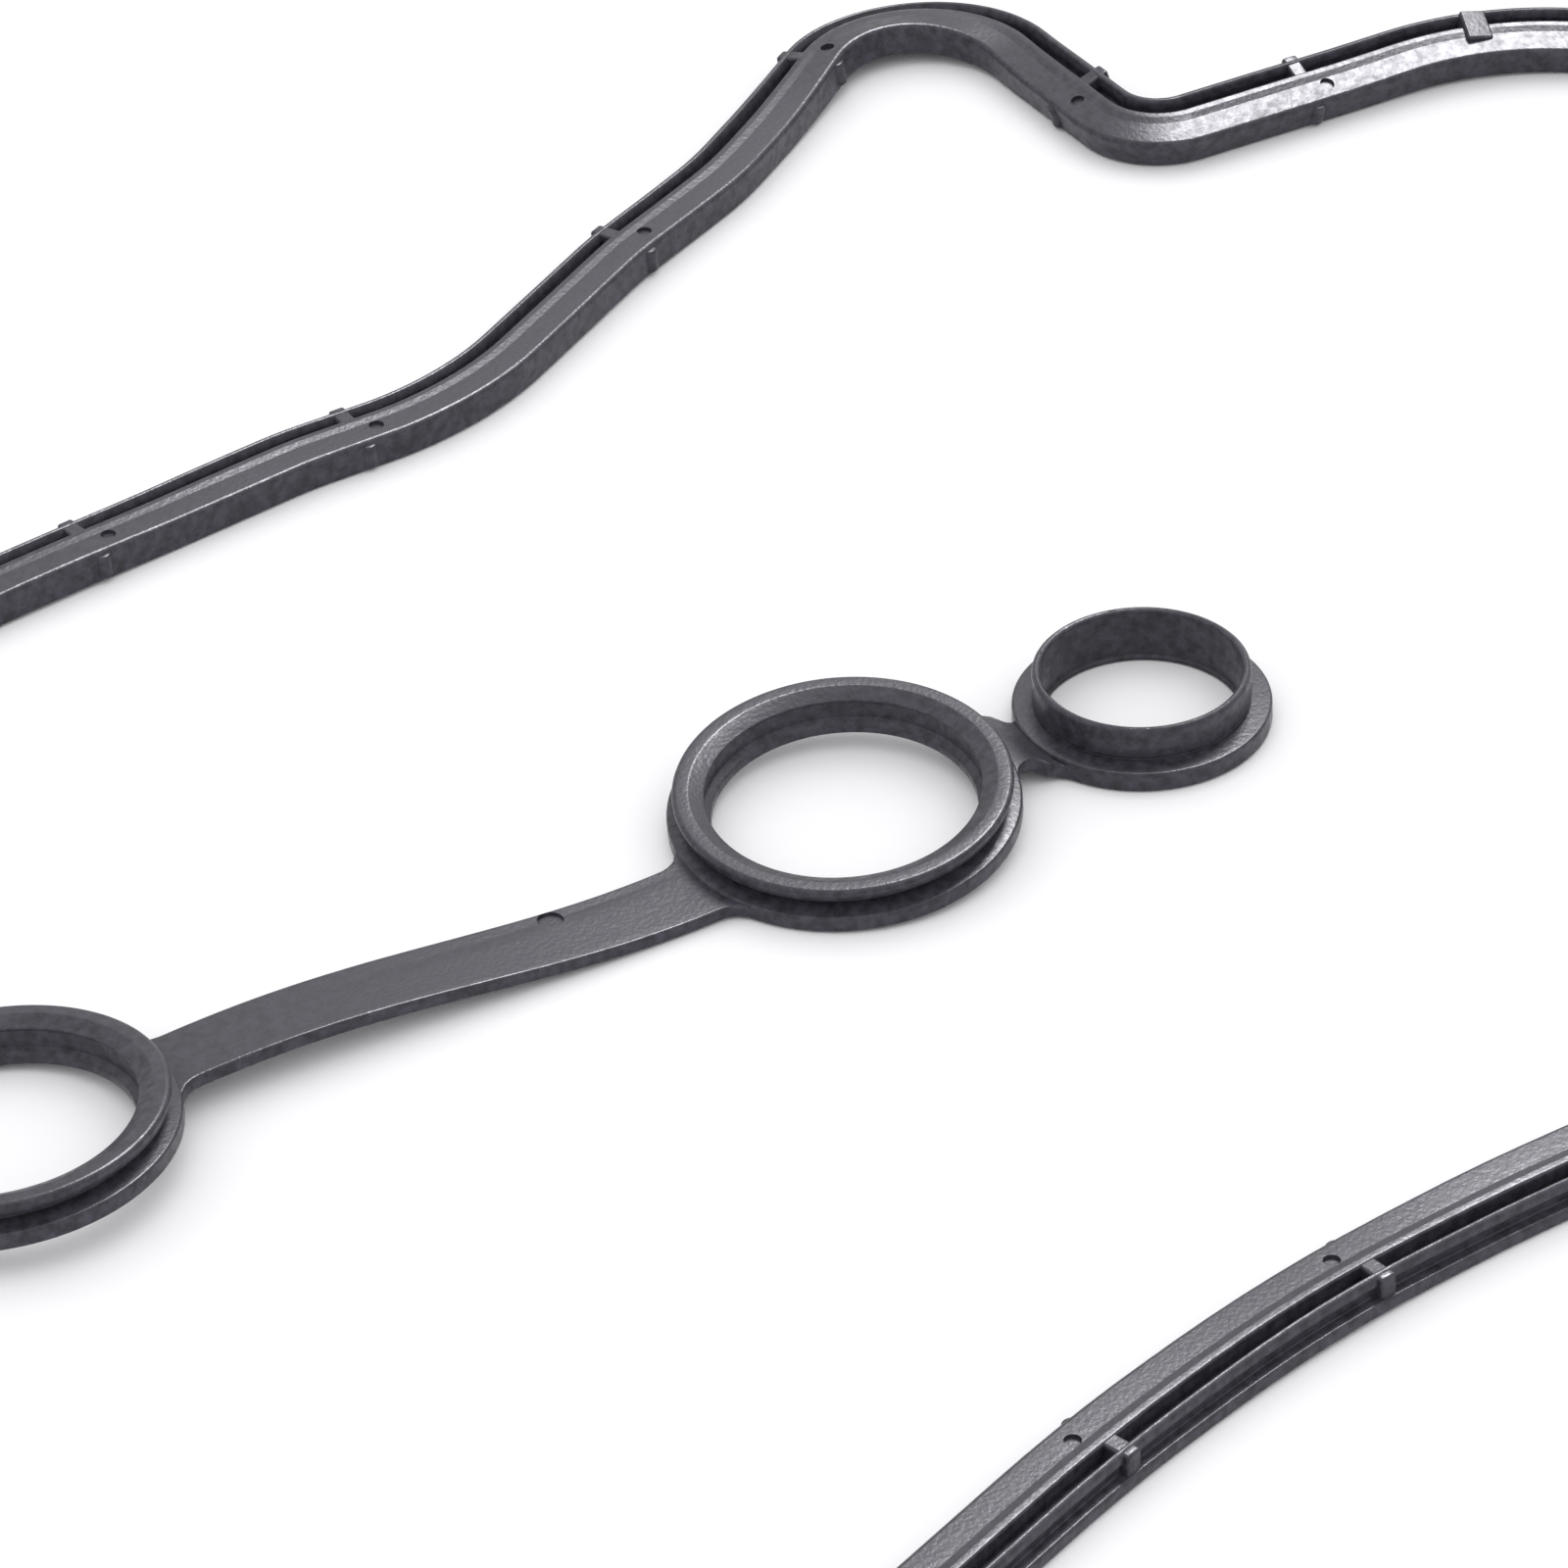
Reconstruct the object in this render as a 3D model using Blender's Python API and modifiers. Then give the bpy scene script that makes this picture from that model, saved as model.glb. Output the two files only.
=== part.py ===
"""Valve cover gasket for a four-cylinder twin-cam engine, moulded in one piece of black rubber.

A grooved sealing strip runs round the edge of the cover. Inside it lies a chain of plug-well
seals, one for each spark plug, with a smaller seal for an oil passage at the timing end. The
gasket lies flat with its groove up, +X points to the timing end and +Z up, in metres.
"""
import math

import bmesh
import bpy
from mathutils import Matrix, Vector

for old in list(bpy.data.objects):
    bpy.data.objects.remove(old)

# Sealing strip, seen in section: a flat band inside, a groove, a thin lip and a low foot outside
STRIP_WIDTH = 0.0077
STRIP_HEIGHT = 0.0037
GROOVE_WIDTH = 0.0011
GROOVE_DEPTH = 0.0020
LIP_WIDTH = 0.0011
LIP_HEIGHT = 0.0037
FOOT_WIDTH = 0.0008
FOOT_HEIGHT = 0.0014
STRIP_EDGE = 0.0003

# Plug-well seals and the chain that they hang on
PLUG_COUNT = 4
PLUG_PITCH = 0.0900
PLUG_BORE = 0.0256
PLUG_FLANGE = 0.0341
PLUG_FLANGE_HEIGHT = 0.0017
PLUG_COLLAR_INSET = 0.0013
PLUG_HEIGHT = 0.0044
PLUG_BEAD = 0.0008
SEAL_EDGE = 0.0003

# Small seal at the timing end
PORT_OFFSET = 0.0335
PORT_BORE = 0.0193
PORT_FLANGE = 0.0254
PORT_FLANGE_HEIGHT = 0.0021
PORT_COLLAR_INSET = 0.002
PORT_HEIGHT = 0.0059
PORT_BEAD = 0.0003

# Straps between the seals
STRAP_WIDTH = 0.0083
STRAP_THICKNESS = 0.0014
STRAP_FILLET = 0.003
STRAP_RISE = 0.0009
STRAP_BOW_SKEW = 0.75
STRAP_LIFT = 0.00015
STRAP_ROOT = 0.0015
END_STRAP_SHIFT = 0.0022
NECK_WIDTH = 0.0084
NECK_FILLET = 0.0025
PORT_SHIFT = 0.0008

# Slope of the plug-well seals as the loose chain lies, along it and across it, from the timing end
SEAL_SLOPES = [(0.056, 0.040), (0.02, -0.09)]

# Course of the strip in plan, measured from the last plug well, with the bend radii
REAR_CLEARANCE = 0.010
FRONT_REACH = 0.1585
REAR_CORNER = 0.035
FRONT_CORNER = 0.036
INTAKE_SIDE = 0.0802
INTAKE_DRIFT_START = -0.060
INTAKE_DRIFT_ANGLE = math.radians(6.5)
INTAKE_DRIFT_BEND = 0.060
FLAT_START = -0.0145
FLAT_BEND = 0.040
RAMP_START = 0.0052
RAMP_ANGLE = math.radians(29.2)
RAMP_BEND = 0.038
SADDLE_START = 0.033
SADDLE_ANGLE = math.radians(24.3)
SADDLE_BEND = 0.045
CREST_START = 0.0505
CREST_ANGLE = math.radians(33.0)
CREST_BEND = 0.045
HORN_REACH = 0.0926
HORN_BEND = 0.0135
HORN_FOOT = 0.0880
HORN_FOOT_BEND = 0.006
FRONT_DROP_ANGLE = math.radians(3.5)
EXHAUST_SIDE = 0.1037
EXHAUST_DRIFT_START = -0.066
EXHAUST_DRIFT_ANGLE = math.radians(20.0)
EXHAUST_DRIFT_BEND = 0.060
EXHAUST_SWEEP_START = -0.0101
EXHAUST_SWEEP_ANGLE = math.radians(1.0)
EXHAUST_SWEEP_BEND = 0.19

# Roll of the strip round the timing end, where the relaxed gasket stands on its inner edge
STRIP_ROLL = math.radians(19.0)
ROLL_START = 0.395
ROLL_FULL = 0.450
ROLL_EASING = 0.495
ROLL_END = 0.545

# Cross ribs that keep the strip in the cover's slot, and the pad near the timing end
RIB_STATIONS = (0.2811, 0.3138, 0.3595, 0.4436, 0.4724, 0.8122, 0.8445)
RIB_PITCH = 0.038
RIB_LENGTH = 0.0018
RIB_HEIGHT = 0.0036
NUB_RADIUS = 0.001
NUB_HEIGHT = 0.0030
NUB_PROUD = 0.0005
PAD_STATION = 0.4940
PAD_LENGTH = 0.003
PAD_RISE = 0.0004

# Fineness of the curves
ARC_STEP = math.radians(7.5)
ARC_LENGTH = 0.011
SEAL_STEPS = 40
FILLET_STEPS = 4
STRAP_STEPS = 14

gasket_parts = bpy.data.collections.new("valve_cover_gasket")
bpy.context.scene.collection.children.link(gasket_parts)
joined_parts = bpy.data.collections.new("joined_parts")
bpy.context.scene.collection.children.link(joined_parts)

rubber = bpy.data.materials.new("moulded_rubber")
rubber.use_nodes = True
rubber_surface = rubber.node_tree.nodes["Principled BSDF"]
rubber_surface.inputs["Base Color"].default_value = (0.045, 0.044, 0.05, 1.0)
rubber_surface.inputs["Roughness"].default_value = 0.5
rubber_surface.inputs["Metallic"].default_value = 0.0


def rounded_outline(corners):
    """Points of a closed outline whose corners (x, y, radius) are rounded by arcs."""
    points = []
    for index, (x, y, radius) in enumerate(corners):
        corner = Vector((x, y))
        back = Vector(corners[index - 1][:2]) - corner
        ahead = Vector(corners[(index + 1) % len(corners)][:2]) - corner
        turn = math.pi - back.angle(ahead)
        setback = radius * math.tan(turn / 2)
        middle = (back.normalized() + ahead.normalized()).normalized()
        centre = corner + middle * radius / math.cos(turn / 2)
        start = corner + back.normalized() * setback - centre
        side = 1.0 if back.x * ahead.y - back.y * ahead.x < 0 else -1.0
        steps = max(2, math.ceil(turn / ARC_STEP), math.ceil(turn * radius / ARC_LENGTH))
        for step in range(steps + 1):
            angle = side * turn * step / steps
            spoke = Matrix.Rotation(angle, 2) @ start
            points.append(centre + spoke)
    return points


def poly_curve(name, points, rolls=None):
    """A closed curve through points: flat in plan, or in space with a roll at each."""
    curve = bpy.data.curves.new(name, "CURVE")
    curve.dimensions = "3D" if rolls else "2D"
    spline = curve.splines.new("POLY")
    spline.points.add(len(points) - 1)
    for index, (spline_point, point) in enumerate(zip(spline.points, points)):
        spline_point.co = (*Vector(point).to_3d(), 1.0)
        spline_point.tilt = rolls[index] if rolls else 0.0
    spline.use_cyclic_u = True
    return curve


def seal_profile(bore, flange, flange_height, collar_inset, height, bead):
    """Half section of a seal ring, from the collar's outer top edge down and back up the bore."""
    outer = flange / 2
    collar = outer - collar_inset
    neck = collar - bead
    inner = bore / 2
    recess = inner + bead
    lip = inner + bead / 2
    return [
        (collar - SEAL_EDGE, height),
        (collar, height - SEAL_EDGE),
        (collar, flange_height + 2 * bead),
        (neck, flange_height + 1.5 * bead),
        (neck, flange_height + bead / 2),
        (outer, flange_height),
        (outer, SEAL_EDGE),
        (outer - SEAL_EDGE, 0.0),
        (inner + SEAL_EDGE, 0.0),
        (inner, SEAL_EDGE),
        (inner, bead),
        (recess, 1.5 * bead),
        (recess, height - 1.5 * bead),
        (lip, height - bead),
        (lip, height - SEAL_EDGE),
        (lip + SEAL_EDGE, height),
    ]


def turned_ring(name, profile, steps):
    """A ring turned about Z from its closed half section, as a mesh."""
    mesh = bpy.data.meshes.new(name)
    shape = bmesh.new()
    corners = [shape.verts.new((radius, 0.0, height)) for radius, height in profile]
    for index, corner in enumerate(corners):
        shape.edges.new((corners[index - 1], corner))
    shape.to_mesh(mesh)
    shape.free()
    ring = bpy.data.objects.new(name, mesh)
    joined_parts.objects.link(ring)
    screw = ring.modifiers.new("turn", "SCREW")
    screw.steps = steps
    screw.render_steps = steps
    screw.use_merge_vertices = True
    screw.merge_threshold = 0.00001
    evaluated = ring.evaluated_get(bpy.context.evaluated_depsgraph_get())
    turned = bpy.data.meshes.new_from_object(evaluated)
    bpy.data.objects.remove(ring)
    return turned


def joined(name, mesh, at=(0.0, 0.0, 0.0)):
    """A shape that is moulded into the gasket, kept as its own object."""
    part = bpy.data.objects.new(name, mesh)
    part.location = at
    part.hide_render = True
    part.display_type = "WIRE"
    joined_parts.objects.link(part)
    part.parent = frame
    return part


def flange_edge(edge, fillet, radius):
    """One edge of a strap as it leaves a round flange, by offsets along and across from its centre.

    The fillet is an arc that touches the flange and the straight edge, which runs at a distance
    from the flange's centre line. The first point lies inside the flange.
    """
    reach = math.sqrt((radius + fillet) ** 2 - (edge + fillet) ** 2)
    first = -math.pi + math.atan2(edge + fillet, reach)
    points = []
    for step in range(FILLET_STEPS + 1):
        angle = first + (-math.pi / 2 - first) * step / FILLET_STEPS
        points.append((reach + fillet * math.cos(angle), edge + fillet + fillet * math.sin(angle)))
    along, across = points[0]
    return [(along - STRAP_ROOT, across)] + points


def wall_edge(edge, fillet):
    """The same for an edge that leaves a straight wall."""
    points = [(-STRAP_ROOT, edge + fillet)]
    for step in range(FILLET_STEPS + 1):
        angle = math.pi / 2 * step / FILLET_STEPS
        points.append((fillet * (1 - math.cos(angle)), edge + fillet * (1 - math.sin(angle))))
    return points


def eased(run):
    """A smooth step from 0 to 1."""
    return run * run * (3 - 2 * run)


def lay_height(lay, x, y):
    """Height of a seal's underside plane at a point."""
    centre_x, height, slope_x, slope_y = lay
    return height + slope_x * (x - centre_x) + slope_y * y


def strap(name, start_lay, starts, end_lay, ends, rise=0.0):
    """A thin web between two laid ends, from the upper and lower edge at each, that bows up by rise."""
    start_x, end_x = start_lay[0], end_lay[0]
    sides = []
    for side, start, end in ((-1, starts[1], ends[1]), (1, starts[0], ends[0])):
        begin_x = start_x + start[-1][0]
        finish_x = end_x - end[-1][0]
        points = [(start_x + along, across) for along, across in start]
        steps = STRAP_STEPS if rise else 3
        for step in range(1, steps):
            part_way = step / steps
            across = start[-1][1] + (end[-1][1] - start[-1][1]) * eased(part_way)
            points.append((begin_x + (finish_x - begin_x) * part_way, across))
        points += [(end_x - along, across) for along, across in reversed(end)]
        leave_x = start_x + start[1][0]
        land_x = end_x - end[1][0]
        runs = [max(0.0, min(1.0, (x - leave_x) / (land_x - leave_x))) for x, across in points]
        sides.append([(x, side * across, run) for (x, across), run in zip(points, runs)])
    mesh = bpy.data.meshes.new(name)
    shape = bmesh.new()
    rows = []
    for pair in zip(*sides):
        row = []
        for x, y, run in pair:
            low = lay_height(start_lay, x, y) * (1 - eased(run)) + lay_height(end_lay, x, y) * eased(run)
            bow = rise * math.sin(math.pi * run ** STRAP_BOW_SKEW) ** 2
            row.append(shape.verts.new((x, y, STRAP_LIFT + low + bow)))
        rows.append(row)
    for row, following in zip(rows, rows[1:]):
        shape.faces.new((row[0], following[0], following[1], row[1]))
    shape.to_mesh(mesh)
    shape.free()
    web = joined(name, mesh)
    thicken = web.modifiers.new("thickness", "SOLIDIFY")
    thicken.thickness = STRAP_THICKNESS
    thicken.offset = 1.0
    return web


def roll_at(distance):
    """Roll of the strip at a distance round its course."""
    into = (distance - ROLL_START) / (ROLL_FULL - ROLL_START)
    out_of = (ROLL_END - distance) / (ROLL_END - ROLL_EASING)
    return STRIP_ROLL * eased(max(0.0, min(1.0, into, out_of)))


def roll_lift(roll):
    """Height of the strip's middle when it is rolled onto its inner edge."""
    return STRIP_WIDTH / 2 * math.sin(roll)


def place_along(points, station):
    """Placing of a shape whose +X runs along the strip and +Z up through it, at a station on its course."""
    distance = station
    for index, point in enumerate(points):
        step = points[(index + 1) % len(points)] - point
        if distance <= step.length:
            break
        distance -= step.length
    spot = point + step.normalized() * distance
    roll = roll_at(station)
    heading = Matrix.Rotation(math.atan2(step.y, step.x), 4, "Z")
    return Matrix.Translation((spot.x, spot.y, roll_lift(roll))) @ heading @ Matrix.Rotation(roll, 4, "X")


def add_block(shape, placing, length, across, heights):
    """A block across the strip, given by its length along it and its limits across and upwards."""
    middle = Matrix.Translation((0.0, sum(across) / 2, sum(heights) / 2))
    size = Matrix.Diagonal((length, across[1] - across[0], heights[1] - heights[0], 1.0))
    bmesh.ops.create_cube(shape, size=1.0, matrix=placing @ middle @ size)


# The strip's course runs clockwise from the rear corner on the intake side, with its outside on the left
rear_x = -(PLUG_COUNT - 1) * PLUG_PITCH - PLUG_FLANGE / 2 - REAR_CLEARANCE - STRIP_WIDTH / 2
flat_y = INTAKE_SIDE + (FLAT_START - INTAKE_DRIFT_START) * math.tan(INTAKE_DRIFT_ANGLE)
saddle_y = flat_y + (SADDLE_START - RAMP_START) * math.tan(RAMP_ANGLE)
crest_y = saddle_y + (CREST_START - SADDLE_START) * math.tan(SADDLE_ANGLE)
horn_top = crest_y + (HORN_REACH - CREST_START) * math.tan(CREST_ANGLE)
front_y = HORN_FOOT - (FRONT_REACH - HORN_REACH) * math.tan(FRONT_DROP_ANGLE)
sweep_y = -EXHAUST_SIDE + (EXHAUST_SWEEP_START - EXHAUST_DRIFT_START) * math.tan(EXHAUST_DRIFT_ANGLE)
front_low = sweep_y + (FRONT_REACH - EXHAUST_SWEEP_START) * math.tan(EXHAUST_SWEEP_ANGLE)
course = rounded_outline([
    (rear_x, INTAKE_SIDE, REAR_CORNER),
    (INTAKE_DRIFT_START, INTAKE_SIDE, INTAKE_DRIFT_BEND),
    (FLAT_START, flat_y, FLAT_BEND),
    (RAMP_START, flat_y, RAMP_BEND),
    (SADDLE_START, saddle_y, SADDLE_BEND),
    (CREST_START, crest_y, CREST_BEND),
    (HORN_REACH, horn_top, HORN_BEND),
    (HORN_REACH, HORN_FOOT, HORN_FOOT_BEND),
    (FRONT_REACH, front_y, FRONT_CORNER),
    (FRONT_REACH, front_low, FRONT_CORNER),
    (EXHAUST_SWEEP_START, sweep_y, EXHAUST_SWEEP_BEND),
    (EXHAUST_DRIFT_START, -EXHAUST_SIDE, EXHAUST_DRIFT_BEND),
    (rear_x, -EXHAUST_SIDE, REAR_CORNER),
])

# The strip's section, from the inner bottom edge over the band, groove and lip to the outer foot
inside = -STRIP_WIDTH / 2
outside = STRIP_WIDTH / 2
foot_in = outside - FOOT_WIDTH
lip_in = foot_in - LIP_WIDTH
band_out = lip_in - GROOVE_WIDTH
groove_floor = STRIP_HEIGHT - GROOVE_DEPTH
strip_section = [
    (inside + STRIP_EDGE, 0.0),
    (inside, STRIP_EDGE),
    (inside, STRIP_HEIGHT - STRIP_EDGE),
    (inside + STRIP_EDGE, STRIP_HEIGHT),
    (band_out - STRIP_EDGE, STRIP_HEIGHT),
    (band_out, STRIP_HEIGHT - STRIP_EDGE),
    (band_out, groove_floor),
    (lip_in, groove_floor),
    (lip_in, LIP_HEIGHT),
    (foot_in, LIP_HEIGHT),
    (foot_in, FOOT_HEIGHT),
    (outside, FOOT_HEIGHT),
    (outside, 0.0),
]

# The strip is its section swept along the course, with the outside of the section turned outwards
section_curve = poly_curve("strip_section", [(-across, height) for across, height in strip_section])
section = bpy.data.objects.new("strip_section", section_curve)
joined_parts.objects.link(section)
stations = [0.0]
for point, following in zip(course, course[1:]):
    stations.append(stations[-1] + (following - point).length)
rolls = [roll_at(station) for station in stations]
raised_course = [(point.x, point.y, roll_lift(roll)) for point, roll in zip(course, rolls)]
course_curve = poly_curve("strip_course", raised_course, rolls)
course_curve.twist_mode = "Z_UP"
course_curve.bevel_mode = "OBJECT"
course_curve.bevel_object = section
sweep = bpy.data.objects.new("strip_course", course_curve)
joined_parts.objects.link(sweep)
swept = sweep.evaluated_get(bpy.context.evaluated_depsgraph_get())
strip_mesh = bpy.data.meshes.new_from_object(swept)
bpy.data.objects.remove(sweep)
bpy.data.objects.remove(section)

# The whole gasket hangs on an empty that brings the middle of its outline to the origin
xs = [vertex.co.x for vertex in strip_mesh.vertices]
ys = [vertex.co.y for vertex in strip_mesh.vertices]
frame = bpy.data.objects.new("gasket_frame", None)
frame.location = (-(min(xs) + max(xs)) / 2, -(min(ys) + max(ys)) / 2, 0.0)
gasket_parts.objects.link(frame)
gasket = bpy.data.objects.new("gasket", strip_mesh)
gasket.parent = frame
gasket_parts.objects.link(gasket)
strip_mesh.materials.clear()
strip_mesh.materials.append(rubber)

# Plug-well seals with the straps between them
plug_mesh = turned_ring(
    "plug_seal",
    seal_profile(PLUG_BORE, PLUG_FLANGE, PLUG_FLANGE_HEIGHT, PLUG_COLLAR_INSET, PLUG_HEIGHT, PLUG_BEAD),
    SEAL_STEPS,
)
plain = flange_edge(STRAP_WIDTH / 2, STRAP_FILLET, PLUG_FLANGE / 2)
shifted_up = flange_edge(STRAP_WIDTH / 2 - END_STRAP_SHIFT, STRAP_FILLET, PLUG_FLANGE / 2)
shifted_down = flange_edge(STRAP_WIDTH / 2 + END_STRAP_SHIFT, STRAP_FILLET, PLUG_FLANGE / 2)
chain = []
lays = []
for plug in range(PLUG_COUNT):
    slope_x, slope_y = SEAL_SLOPES[plug] if plug < len(SEAL_SLOPES) else (0.0, 0.0)
    lay = (-plug * PLUG_PITCH, PLUG_FLANGE / 2 * math.hypot(slope_x, slope_y), slope_x, slope_y)
    seal = joined(f"plug_seal_{plug + 1}", plug_mesh, (lay[0], 0.0, lay[1]))
    seal.rotation_euler = Vector((0, 0, 1)).rotation_difference(Vector((-slope_x, -slope_y, 1))).to_euler()
    chain.append(seal)
    lays.append(lay)
    if plug:
        ends = (shifted_up, shifted_down) if plug == 1 else (plain, plain)
        chain.append(strap(f"strap_{plug}", lay, (plain, plain), lays[plug - 1], ends, STRAP_RISE))

# Small seal at the timing end, on a short neck
port_mesh = turned_ring(
    "port_seal",
    seal_profile(PORT_BORE, PORT_FLANGE, PORT_FLANGE_HEIGHT, PORT_COLLAR_INSET, PORT_HEIGHT, PORT_BEAD),
    SEAL_STEPS,
)
chain.append(joined("port_seal", port_mesh, (PORT_OFFSET, -PORT_SHIFT, 0.0)))
neck_start = flange_edge(NECK_WIDTH / 2, NECK_FILLET, PLUG_FLANGE / 2)
neck_end = flange_edge(NECK_WIDTH / 2, NECK_FILLET, PORT_FLANGE / 2)
neck_up = [(along, across - PORT_SHIFT) for along, across in neck_end]
neck_down = [(along, across + PORT_SHIFT) for along, across in neck_end]
port_lay = (PORT_OFFSET, 0.0, 0.0, 0.0)
chain.append(strap("neck", lays[0], (neck_start, neck_start), port_lay, (neck_up, neck_down)))

# Short link that holds the chain to the strip at the rear
rear_wall = wall_edge(STRAP_WIDTH / 2, STRAP_FILLET)
wall_lay = (rear_x + STRIP_WIDTH / 2, 0.0, 0.0, 0.0)
chain.append(strap("rear_link", wall_lay, (rear_wall, rear_wall), lays[-1], (plain, plain)))

# Cross ribs and side nubs stand at their stations, and at even steps where those lie far apart
course_length = stations[-1] + (course[0] - course[-1]).length
rib_places = []
for index, station in enumerate(RIB_STATIONS):
    gap = (RIB_STATIONS[(index + 1) % len(RIB_STATIONS)] - station) % course_length
    count = round(gap / RIB_PITCH) if gap > 2 * RIB_PITCH else 1
    rib_places += [(station + gap * step / count) % course_length for step in range(count)]
nub_across = inside - NUB_PROUD + NUB_RADIUS
rib_shape = bmesh.new()
for rib_place in rib_places:
    placing = place_along(course, rib_place)
    bridge = (band_out - 2 * STRIP_EDGE, outside - STRIP_EDGE)
    add_block(rib_shape, placing, RIB_LENGTH, bridge, (FOOT_HEIGHT / 2, RIB_HEIGHT))
    bmesh.ops.create_cone(
        rib_shape,
        cap_ends=True,
        segments=12,
        radius1=NUB_RADIUS,
        radius2=NUB_RADIUS,
        depth=NUB_HEIGHT - STRIP_EDGE,
        matrix=placing @ Matrix.Translation((0.0, nub_across, (NUB_HEIGHT + STRIP_EDGE) / 2)),
    )

# Raised pad across the band and groove, past the horn
pad_place = place_along(course, PAD_STATION % course_length)
pad_across = ((inside + band_out) / 2, foot_in - STRIP_EDGE)
add_block(rib_shape, pad_place, PAD_LENGTH, pad_across, (groove_floor / 2, STRIP_HEIGHT + PAD_RISE))
ribs_mesh = bpy.data.meshes.new("cross_ribs")
rib_shape.to_mesh(ribs_mesh)
rib_shape.free()
chain.append(joined("cross_ribs", ribs_mesh))

# Everything is moulded together
for part in chain:
    union = gasket.modifiers.new(part.name, "BOOLEAN")
    union.operation = "UNION"
    union.solver = "EXACT"
    union.object = part
strip_mesh.shade_smooth()
strip_mesh.set_sharp_from_angle(angle=math.radians(30))
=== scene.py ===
"""Valve cover gasket: one moulding of black rubber, lying loose on a pale studio floor."""
import math

import bmesh
import bpy
from mathutils import Matrix, Vector


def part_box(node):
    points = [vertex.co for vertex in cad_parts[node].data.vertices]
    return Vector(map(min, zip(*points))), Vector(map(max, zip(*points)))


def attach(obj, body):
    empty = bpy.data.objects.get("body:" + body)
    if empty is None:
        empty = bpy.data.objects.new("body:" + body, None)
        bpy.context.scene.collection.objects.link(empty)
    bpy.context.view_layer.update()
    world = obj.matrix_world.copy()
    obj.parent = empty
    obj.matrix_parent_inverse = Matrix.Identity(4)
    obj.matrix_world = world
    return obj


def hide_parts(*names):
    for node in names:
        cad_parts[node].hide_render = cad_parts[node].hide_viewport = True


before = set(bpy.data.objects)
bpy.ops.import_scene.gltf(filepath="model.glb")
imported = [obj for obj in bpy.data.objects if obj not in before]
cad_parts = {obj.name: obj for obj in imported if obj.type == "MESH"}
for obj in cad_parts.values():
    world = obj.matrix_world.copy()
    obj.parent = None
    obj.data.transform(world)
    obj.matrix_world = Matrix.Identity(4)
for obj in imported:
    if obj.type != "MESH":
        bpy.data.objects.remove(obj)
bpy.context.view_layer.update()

# Sealing strip, the edge of the moulding: it is pressed into the cover's slot and seals on the
# thin lip beside its groove. Nitrile rubber, compression-moulded as one closed ring.
STRIP_WIDTH = 0.0077
STRIP_HEIGHT = 0.0037
GROOVE_WIDTH = 0.0011
GROOVE_DEPTH = 0.0020
LIP_WIDTH = 0.0011
LIP_HEIGHT = 0.0037
FOOT_WIDTH = 0.0008
FOOT_HEIGHT = 0.0014
LIP_ROUND = 0.0005
LIP_FLARE = 0.0008
LIP_BULB = 0.0010
LIP_WAIST = 0.0004
BAND_DISH = 0.00015
BAND_BEAD = 0.0008
MOULD_RADIUS = 0.0003
MOULD_SEGMENTS = 3
STRIP_TURN_STEP = math.radians(2.5)
STRIP_STEP = 0.004
SECTION_TURN_STEP = math.radians(30.0)

PLUG_COUNT = 4
PLUG_PITCH = 0.0900
PLUG_FLANGE = 0.0341
REAR_REACH = (PLUG_COUNT - 1) * PLUG_PITCH + PLUG_FLANGE / 2 + 0.010 + STRIP_WIDTH / 2
FRONT_REACH = 0.1585
INTAKE_SIDE = 0.0802
INTAKE_DRIFT_START = -0.060
INTAKE_DRIFT_ANGLE = math.radians(6.5)
FLAT_START = -0.0145
RAMP_START = 0.0052
RAMP_ANGLE = math.radians(29.2)
SADDLE_START = 0.033
SADDLE_ANGLE = math.radians(24.3)
CREST_START = 0.0505
CREST_ANGLE = math.radians(33.0)
HORN_REACH = 0.0926
HORN_FOOT = 0.0880
FRONT_DROP_ANGLE = math.radians(3.5)
EXHAUST_SIDE = 0.1037
EXHAUST_DRIFT_START = -0.066
EXHAUST_DRIFT_ANGLE = math.radians(20.0)
EXHAUST_SWEEP_START = -0.0101
EXHAUST_SWEEP_ANGLE = math.radians(1.0)

# The loose strip lies rolled onto its inner edge round the timing end and onto its outer edge at
# the hump before it. It waves a little all the way round: each wave has a share of the roll, a
# number of turns round the course and a phase.
STRIP_ROLL = math.radians(19.0)
ROLL_START = 0.408
ROLL_FULL = 0.450
ROLL_EASING = 0.495
ROLL_END = 0.545
HUMP_ROLL = math.radians(-11.0)
HUMP_STATION = 0.411
HUMP_REACH = 0.026
WAVE_ROLL = math.radians(1.8)
WAVES = ((0.6, 17, 0.4), (0.4, 29, 2.1))


def rounded(corners, turn_step, longest=math.inf):
    """Points of a closed outline whose corners (x, y, radius) are rounded by arcs."""
    points = []
    for index, (x, y, radius) in enumerate(corners):
        corner = Vector((x, y))
        back = (Vector(corners[index - 1][:2]) - corner).normalized()
        ahead = (Vector(corners[(index + 1) % len(corners)][:2]) - corner).normalized()
        turn = math.pi - back.angle(ahead)
        centre = corner + (back + ahead).normalized() * radius / math.cos(turn / 2)
        start = corner + back * radius * math.tan(turn / 2) - centre
        side = 1.0 if back.x * ahead.y - back.y * ahead.x < 0 else -1.0
        steps = max(1, math.ceil(turn / turn_step), math.ceil(turn * radius / longest))
        turns = [side * turn * step / steps for step in range(steps + 1)]
        points += [centre + Matrix.Rotation(turned, 2) @ start for turned in turns]
    return points


def close_together(points, longest):
    """The same closed outline with more points on its straight runs."""
    dense = []
    for index, point in enumerate(points):
        ahead = points[(index + 1) % len(points)]
        steps = max(1, math.ceil((ahead - point).length / longest))
        dense += [point.lerp(ahead, step / steps) for step in range(steps)]
    return dense


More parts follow.
